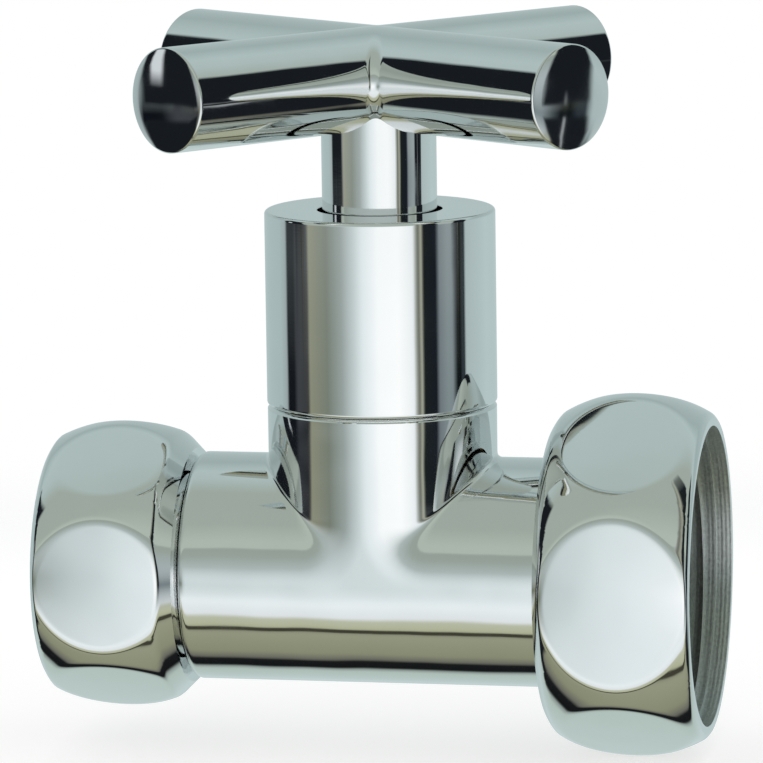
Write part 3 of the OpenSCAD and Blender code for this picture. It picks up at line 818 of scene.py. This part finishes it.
class VALVE_OT_cover(Operator):
    """Turns the plain cover over the headwork"""

    bl_idname = "valve.cover"
    bl_label = "Cover"

    def execute(self, context):
        sizes = context.scene.valve_sizes
        r, low, high = COVER_HIGH.x, COVER_LOW.z, COVER_HIGH.z
        hole_r, thread_r = 7.2 * MM, 12.05 * MM
        wall, top, thread_length = 1.5 * MM, 2 * MM, 8.6 * MM
        thread_end, cavity_r, cavity_top = low + thread_length, r - wall, high - top
        cavity_low = thread_end + 0.4 * MM
        edge, hole_edge, mouth_edge, cavity_round = sizes.edge_round, 0.12 * MM, 0.2 * MM, 0.5 * MM
        outline = round_corners([
            (hole_r, high, hole_edge), (r, high, edge), (r, low, edge), (thread_r, low, mouth_edge),
            (thread_r, thread_end, 0), (cavity_r, cavity_low, 0), (cavity_r, cavity_top, cavity_round),
            (hole_r, cavity_top, hole_edge),
        ])
        chrome = finish_named("polished_chrome_cover")
        piece = turned("plain_cover", outline, "Z", chrome, sizes.turn_steps)
        dressed(piece, "body", "chrome_body", "cover")
        return {"FINISHED"}


def cross_arms(sizes, radius, reach, material):
    """Two crossing bars with filleted valleys and domed ends, about the handle's axis at height 0."""
    bm = bmesh.new()
    steps, rim, dome = sizes.turn_steps, sizes.arm_rim, sizes.arm_dome
    dome_r = (radius**2 + dome**2) / (2 * dome)
    along = [0.006, *(k / 8 for k in range(1, 8))]
    # end of an arm as (radius, along): the rim's arc, then the dome
    rim_turn, rim_steps, dome_steps = radians(84), 7, 10
    end = []
    for k in range(rim_steps + 1):
        a = rim_turn * k / rim_steps
        end.append((radius - rim + rim * cos(a), reach - rim + rim * sin(a)))
    dome_edge = end[-1][0]
    for k in range(1, dome_steps + 1):
        r = dome_edge * (1 - k / dome_steps)
        end.append((r, reach + dome - dome_r + sqrt(dome_r**2 - r**2)))
    for quarter in range(4):
        turn = Matrix.Rotation(pi / 2 * quarter, 3, "Z")
        rows = []
        for k in range(2 * steps + 1):
            a = -pi / 2 + pi * k / (2 * steps)
            half = radius * cos(a) if 0 < k < 2 * steps else 0.0
            z = radius * sin(a)
            fillet = sizes.valley_fillet * sqrt(max(cos(a), 0)) if half else 0.0
            row = [(s, r * cos(a), r * sin(a)) for r, s in reversed(end)]
            start = half + fillet
            row += [(reach - rim + (start - reach + rim) * t, half, z) for t in along]
            row += [(half + x, half + w, z) for w, x in fillet_curve(fillet)]
            row += [(half, reach - rim + (start - reach + rim) * t, z) for t in reversed(along)]
            row += [(r * cos(a), s, r * sin(a)) for r, s in end]
            rows.append([turn @ Vector(p) for p in row])
        join_rows(bm, rows)
    return finished_piece("cross_handle", bm, material, sharp=40)


class VALVE_OT_handle(Operator):
    """Builds the cross handle: two blended bars on a turned neck"""

    bl_idname = "valve.handle"
    bl_label = "Cross handle"

    def execute(self, context):
        sizes = context.scene.valve_sizes
        chrome = finish_named("polished_chrome_handle")
        arm_r, reach = 5.9 * MM, 31.7 * MM
        arms_z = HANDLE_HIGH.z - arm_r
        cross = cross_arms(sizes, arm_r, reach, chrome)
        turn = Matrix.Rotation(sizes.handle_angle, 4, "Z")
        cross.data.transform(Matrix.Translation((0, 0, arms_z)) @ turn)
        neck_r, neck_edge = 6.6 * MM, 0.4 * MM
        bore_r, bore_edge, bore_top = 3.97 * MM, 0.3 * MM, SPINDLE_HIGH.z + 0.6 * MM
        outline = round_corners([
            (bore_r, HANDLE_LOW.z, bore_edge), (neck_r, HANDLE_LOW.z, neck_edge), (neck_r, arms_z, 0),
            (0, arms_z, 0), (0, bore_top, 0), (bore_r, bore_top, 0),
        ])
        stem = turned("neck", outline, "Z", chrome, sizes.turn_steps)
        carve(cross, stem, "UNION")
        grub = (GRUB_LOW + GRUB_HIGH) / 2
        hole_r, hole_end, hole_steps = 2.05 * MM, 9 * MM, 12
        hole = [(0, 0), (hole_r, 0), (hole_r, hole_end), (0, hole_end)]
        drill = turned("tool_grub", hole, "Z", chrome, hole_steps)
        way = Vector((grub.x, grub.y, 0)).to_track_quat("Z", "Y").to_matrix().to_4x4()
        drill.data.transform(Matrix.Translation((0, 0, grub.z)) @ way)
        carve(cross, drill)
        smooth(cross.data, sharp=35)
        dressed(cross, "handle_and_spindle", "chrome_handle", "handle")
        return {"FINISHED"}


class VALVE_OT_fittings(Operator):
    """Gives the inner parts that stay as the frame has them their finishes"""

    bl_idname = "valve.fittings"
    bl_label = "Inner fittings"

    def execute(self, context):
        finishes = {
            "raw_brass": "turned_brass", "gasket_rubber": "moulded_rubber",
            "thrust_plastic": "moulded_acetal", "spring_steel": "blued_spring_steel",
        }
        for part in frame["record"]["subparts"]:
            if part["material_slot"] in finishes:
                node = frame["nodes"][part["node"]]
                node.data.materials.clear()
                node.data.materials.append(finish_named(finishes[part["material_slot"]]))
        return {"FINISHED"}


# Studio


def studio_world(studio):
    """White behind the object. The metal sees a white front, dark flags at its sides and a pale room."""
    world = bpy.data.worlds.new("studio")
    bpy.context.scene.world = world
    world.use_nodes = True
    tree = world.node_tree
    tree.nodes.clear()

    def window(value, start, full, full_end, end):
        """1 between full and full_end, running out to 0 at start and end."""
        rise = add(tree, RANGE, {"Value": value, "From Min": start, "From Max": full})
        ends = {"Value": value, "From Min": full_end, "From Max": end, "To Min": 1, "To Max": 0}
        fall = add(tree, RANGE, ends)
        return add(tree, MATH, {0: rise, 1: fall}, operation="MULTIPLY")

    # where the metal looks, in degrees: around the object, over its pipe and above the level
    way = add(tree, "ShaderNodeTexCoord").outputs["Generated"]
    turn = {"Vector": way, "Angle": -studio.azimuth}
    way = add(tree, "ShaderNodeVectorRotate", turn, rotation_type="Z_AXIS")
    part = add(tree, "ShaderNodeSeparateXYZ", {0: way}).outputs
    front = add(tree, MATH, {0: part["Y"], 1: -1}, operation="MULTIPLY")
    angles = (
        add(tree, MATH, {0: part["X"], 1: front}, operation="ARCTAN2"),
        add(tree, MATH, {0: part["Z"], 1: front}, operation="ARCTAN2"),
        add(tree, MATH, {0: part["Z"]}, operation="ARCSINE"),
    )
    around, over, height = (add(tree, MATH, {0: angle}, operation="DEGREES") for angle in angles)
    # from 20 degrees up the walls lean outwards
    lean = {"Value": height, "From Min": 20, "From Max": 90, "To Max": 42}
    leant = add(tree, MATH, {0: around, 1: add(tree, RANGE, lean)}, operation="SUBTRACT")
    walls = (
        # behind on the left: a pale wall, a dark flag and the dim cloth beside it
        (-180, "#A9B8B8"), (-120, "#A5B6B6"), (-110, "#9AA5A7"), (-107.5, "#0E1218"), (-98, "#111419"),
        (-93, "#3E4146"), (-79, "#3A3B3C"),
        # a grey wall that runs into the white front
        (-76.5, "#898B77"), (-56, "#767D72"), (-40, "#96A09D"), (-26, "#C6D0D1"), (-19, "#E0E8EA"),
        (-3, "#FAFCFD"), (17, "#FFFFFF"), (32, "#ECF0F2"),
        # the front's grey border and the tall dark flag
        (34.5, "#A8ACA6"), (37.5, "#5C5F56"), (40, "#9EA192"), (41.2, "#9EA192"), (42.6, "#1B2021"),
        (56.5, "#161C23"),
        # a grey wall, a dark flag and the pale wall behind
        (60, "#6D767B"), (70, "#7F8B8D"), (75.5, "#7C878B"), (79, "#454D50"), (81.5, "#0E1417"),
        (86, "#0E1417"), (88.5, "#2E363C"), (91.5, "#2A3238"), (93.5, "#A8B6B7"), (130, "#B4C4C4"),
        (180, "#A9B8B8"),
    )
    room = (
        # under the object from behind: the pale wall, its dark foot, the table and a gap in it
        (-180, "#A9B8B8"), (-150, "#BAC8C8"), (-120, "#AEBDB6"), (-115, "#8A9490"), (-112, "#141616"),
        (-101, "#181A1C"), (-97, "#696960"), (-88, "#898B73"), (-65, "#94967F"), (-62, "#8E907A"),
        (-60.5, "#3E3D33"), (-57.5, "#3E3D33"),
        # the table's bright edge, and the front up to the ceiling
        (-56, "#AEB194"), (-47, "#B8BBA6"), (-43, "#DFE3E5"), (-30, "#E8EEF0"), (-12, "#DCE4E6"),
        (-3, "#C8D2D3"), (8, "#ACB7B5"), (20, "#98A29B"), (27.5, "#959F97"),
        # the ceiling, down to the pale wall behind
        (29.5, "#ADB7AD"), (36, "#ADB7AD"), (55, "#9FA9A0"), (92, "#9EA8A0"), (110, "#ABBAB8"),
        (122, "#AEBEBD"), (140, "#9BABAA"), (180, "#A9B8B8"),
    )
    painted = []
    for angle, stops in ((leant, walls), (over, room)):
        share = add(tree, MATH, {0: angle, 1: 1 / 360, 2: 0.5}, operation="MULTIPLY_ADD")
        places = [((degree + 180) / 360, code) for degree, code in stops]
        painted.append(add(tree, "ShaderNodeValToRGB", {"Fac": share}, places))
    # the walls stand about the level; the dark flag on the right reaches 60 degrees higher
    tall = window(leant, 33, 38, 54, 60)
    top = add(tree, MATH, {0: tall, 1: -60, 2: height}, operation="MULTIPLY_ADD")
    under_top = add(tree, RANGE, {"Value": top, "From Min": -9, "From Max": 8, "To Min": 1, "To Max": 0})
    over_foot = add(tree, RANGE, {"Value": height, "From Min": -24, "From Max": -10})
    stood = add(tree, MATH, {0: under_top, 1: over_foot}, operation="MULTIPLY")
    base = add(tree, MIX, {0: stood, 6: painted[1], 7: painted[0]}, data_type="RGBA")
    # two more flags at the sides, parted just under the level and leaning outwards from there
    from_part = add(tree, MATH, {0: height, 1: 8.7}, operation="ADD")
    off_part = add(tree, MATH, {0: from_part}, operation="ABSOLUTE")
    side = add(tree, MATH, {0: around}, operation="SIGN")
    inwards = add(tree, MATH, {0: off_part, 1: -0.22}, operation="MULTIPLY")
    flank = add(tree, MATH, {0: side, 1: inwards, 2: around}, operation="MULTIPLY_ADD")
    left, right = window(flank, -107, -105, -81, -79), window(flank, 74, 76, 91, 93)
    across = add(tree, MATH, {0: left, 1: right}, operation="MAXIMUM")
    parted = add(tree, RANGE, {"Value": off_part, "From Min": 0.9, "From Max": 1.7})
    upright = add(tree, MATH, {0: window(height, -35, -32, 33, 36), 1: parted}, operation="MULTIPLY")
    flags = add(tree, MATH, {0: across, 1: upright}, operation="MULTIPLY")
    # a bright slit in the left flag and a fainter thin one in the right flag
    slits = []
    for width, reach, strength in (
        ((-103.5, -102, -98.5, -97), (-4, -1, 7, 10), 1),
        ((82.5, 83, 83.5, 84), (-26, -22, -9, -5), 0.5),
    ):
        slit = add(tree, MATH, {0: window(around, *width), 1: window(height, *reach)}, operation="MULTIPLY")
        slits.append(add(tree, MATH, {0: slit, 1: strength}, operation="MULTIPLY"))
    gleam = add(tree, MATH, {0: slits[0], 1: slits[1]}, operation="MAXIMUM")
    tones = {0: gleam, 6: (*hex_rgb("#171B20"), 1), 7: (*hex_rgb("#CDD2D6"), 1)}
    dark = add(tree, MIX, tones, data_type="RGBA").outputs[2]
    seen = add(tree, MIX, {0: flags, 6: base.outputs[2], 7: dark}, data_type="RGBA").outputs[2]
    # metal mirrors the room, matt surfaces get an even soft light and the camera sees plain white
    ray = add(tree, "ShaderNodeLightPath").outputs
    bright = add(tree, "ShaderNodeBackground", {"Color": seen, "Strength": 1.25})
    soft = add(tree, "ShaderNodeBackground", {"Color": (*hex_rgb("#FAFAF8"), 1), "Strength": 0.95})
    white = add(tree, "ShaderNodeBackground", {"Color": (*hex_rgb("#FFFFFF"), 1), "Strength": 1})
    lit = add(tree, "ShaderNodeMixShader", {0: ray["Is Diffuse Ray"], 1: bright, 2: soft})
    shown = add(tree, "ShaderNodeMixShader", {0: ray["Is Camera Ray"], 1: lit, 2: white})
    add(tree, "ShaderNodeOutputWorld", {"Surface": shown})


def studio_floor():
    """A pale disc under the valve that takes its shadow and fades into the white around it."""
    disc_r, fade_from, fade_to, room_under_nut = 0.24, 0.09, 0.22, 0.05 * MM
    bm = bmesh.new()
    bmesh.ops.create_circle(bm, cap_ends=True, segments=96, radius=disc_r)
    mesh = bpy.data.meshes.new("studio_floor")
    bm.to_mesh(mesh)
    bm.free()
    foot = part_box("union_nut_large")[0].z
    mesh.transform(Matrix.Translation((0, 0, foot - room_under_nut)))
    floor = bpy.data.objects.new("studio_floor", mesh)
    bpy.context.scene.collection.objects.link(floor)
    material = bpy.data.materials.new("pale_floor")
    material.use_nodes = True
    tree = material.node_tree
    tree.nodes.clear()
    place = add(tree, "ShaderNodeTexCoord").outputs["Object"]
    flat = add(tree, "ShaderNodeVectorMath", {0: place, 1: (1, 1, 0)}, operation="MULTIPLY")
    away = add(tree, "ShaderNodeVectorMath", {0: flat}, operation="LENGTH").outputs["Value"]
    edge = {"Value": away, "From Min": fade_from, "From Max": fade_to}
    fade = add(tree, RANGE, edge, interpolation_type="SMOOTHSTEP")
    # the metal looks past the disc into the room, whose table lies further down
    glossy = add(tree, "ShaderNodeLightPath").outputs["Is Glossy Ray"]
    through = add(tree, MATH, {0: fade, 1: glossy}, operation="MAXIMUM")
    paint = add(tree, "ShaderNodeBsdfDiffuse", {"Color": (*hex_rgb("#ADADAD"), 1)})
    glow = add(tree, "ShaderNodeEmission", {"Color": (*hex_rgb("#FFFFFF"), 1), "Strength": 0.665})
    both = add(tree, "ShaderNodeAddShader", {0: paint, 1: glow})
    clear = add(tree, "ShaderNodeBsdfTransparent")
    mixed = add(tree, "ShaderNodeMixShader", {0: through, 1: both, 2: clear})
    add(tree, "ShaderNodeOutputMaterial", {"Surface": mixed})
    mesh.materials.append(material)


def studio_camera(studio):
    """A long lens at the photograph's angle."""
    a, e = studio.azimuth, studio.elevation
    away = Vector((sin(a) * cos(e), -cos(a) * cos(e), sin(e)))
    right = Vector((cos(a), sin(a), 0))
    up = away.cross(right)
    target = (right * studio.aim_right + up * studio.aim_up) * studio.pixel
    camera = bpy.data.objects.new("camera", bpy.data.cameras.new("camera"))
    bpy.context.scene.collection.objects.link(camera)
    camera.data.sensor_width = SENSOR_MM
    camera.data.lens = studio.distance / studio.pixel * SENSOR_MM / FRAME_PIXELS
    camera.data.clip_start, camera.data.clip_end = 0.01, 20
    spot = Matrix.Translation(target + away * studio.distance)
    look = (-away).to_track_quat("-Z", "Y").to_matrix().to_4x4()
    camera.matrix_world = spot @ look @ Matrix.Rotation(studio.roll, 4, "Z")
    bpy.context.scene.camera = camera


class VALVE_OT_studio(Operator):
    """Sets up the floor, the light and the camera"""

    bl_idname = "valve.studio"
    bl_label = "Studio"

    def execute(self, context):
        studio = context.scene.valve_studio
        context.scene.view_settings.view_transform = "Standard"
        studio_world(studio)
        studio_floor()
        studio_camera(studio)
        return {"FINISHED"}


class VALVE_PT_panel(Panel):
    """Lists the steps that build the valve"""

    bl_idname = "VALVE_PT_panel"
    bl_label = "Towel Rail Valve"
    bl_space_type = "VIEW_3D"
    bl_region_type = "UI"
    bl_category = "Valve"

    def draw(self, context):
        for step in STEPS:
            self.layout.operator(step.bl_idname)
        for group in (context.scene.valve_sizes, context.scene.valve_finish, context.scene.valve_studio):
            for name in group.__annotations__:
                self.layout.prop(group, name)


STEPS = (
    VALVE_OT_studio, VALVE_OT_body, VALVE_OT_nuts, VALVE_OT_threads, VALVE_OT_cover, VALVE_OT_handle,
    VALVE_OT_fittings,
)
CLASSES = (ValveSizes, ValveFinish, ValveStudio, *STEPS, VALVE_PT_panel)


def register():
    """Registers the classes and hangs their properties on the scene."""
    for cls in CLASSES:
        bpy.utils.register_class(cls)
    bpy.types.Scene.valve_sizes = PointerProperty(type=ValveSizes)
    bpy.types.Scene.valve_finish = PointerProperty(type=ValveFinish)
    bpy.types.Scene.valve_studio = PointerProperty(type=ValveStudio)


def unregister():
    """Takes the properties and the classes off again."""
    del bpy.types.Scene.valve_sizes, bpy.types.Scene.valve_finish, bpy.types.Scene.valve_studio
    for cls in reversed(CLASSES):
        bpy.utils.unregister_class(cls)


def main():
    """Runs every step in order."""
    register()
    bpy.ops.valve.studio()
    bpy.ops.valve.body()
    bpy.ops.valve.nuts()
    bpy.ops.valve.threads()
    bpy.ops.valve.cover()
    bpy.ops.valve.handle()
    bpy.ops.valve.fittings()


if __name__ == "__main__":
    main()
